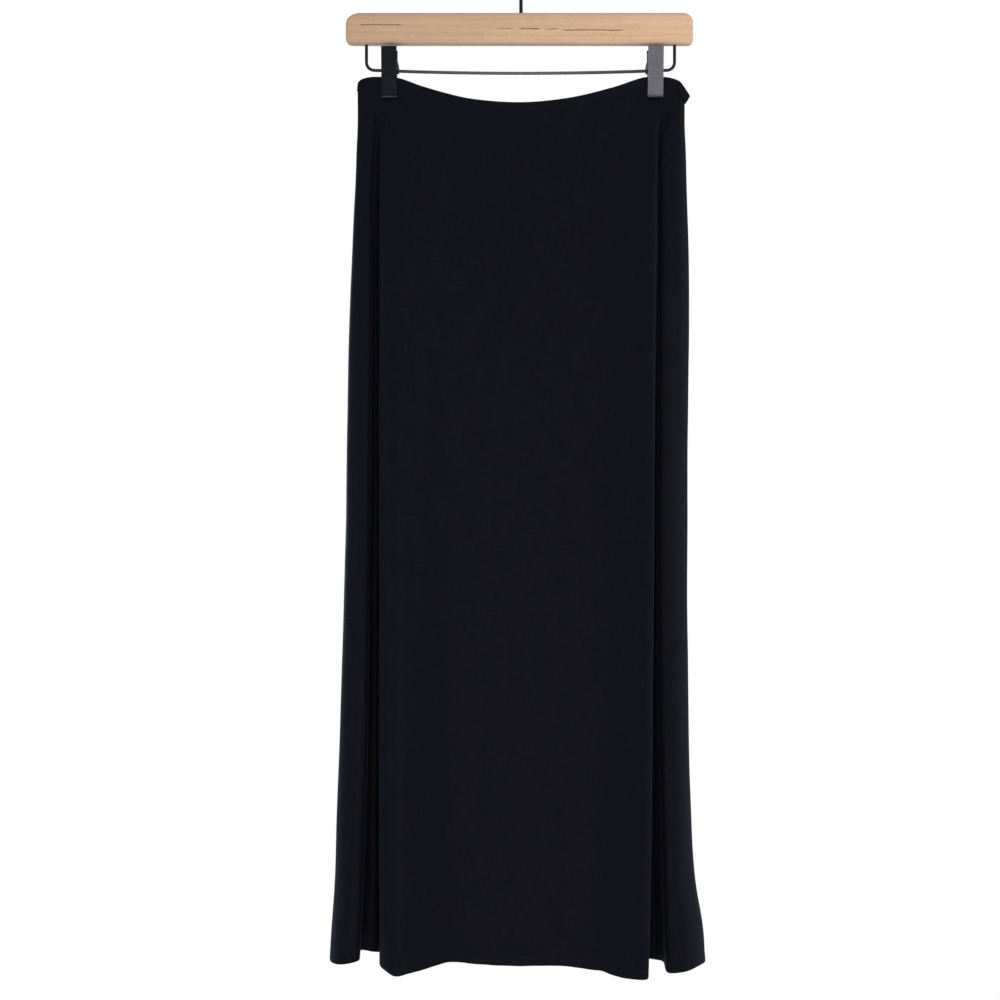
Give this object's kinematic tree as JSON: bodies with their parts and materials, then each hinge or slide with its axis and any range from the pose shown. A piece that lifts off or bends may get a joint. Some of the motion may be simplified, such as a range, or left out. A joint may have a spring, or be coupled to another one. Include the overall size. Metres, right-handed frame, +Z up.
{
  "type": "maxi skirt on a clip hanger",
  "caption": "Long plain pull-on skirt in slinky knit, gripped at its waist by the clips of a wooden bar hanger with a wire hook.",
  "frame": {"origin": "inside top of the hanger's hook, where a rail carries it", "axes": "+Z up, -Y out of the skirt's front, +X to the right of someone looking at the front"},
  "size_m": [0.3854, 0.094, 1.0698],
  "materials": {
    "knit": "near-black slinky rib knit, matt with a soft sheen",
    "casing": "the same knit, doubled over elastic",
    "wood": "pale beech, satin",
    "black_wire": "black coated steel wire",
    "black_nickel": "black nickel plate, satin",
    "spring_steel": "dull spring steel"
  },
  "bodies": {
    "root": {"skirt_front": "knit", "skirt_back": "knit", "waistband": "casing", "hanger_bar": "wood", "hanger_hook": "black_wire", "trouser_wire": "black_wire", "clip_left_front": "black_nickel", "clip_left_back": "black_nickel", "clip_left_spring": "spring_steel", "clip_right_front": "black_nickel", "clip_right_back": "black_nickel", "clip_right_spring": "spring_steel"}
  },
  "joints": []
}
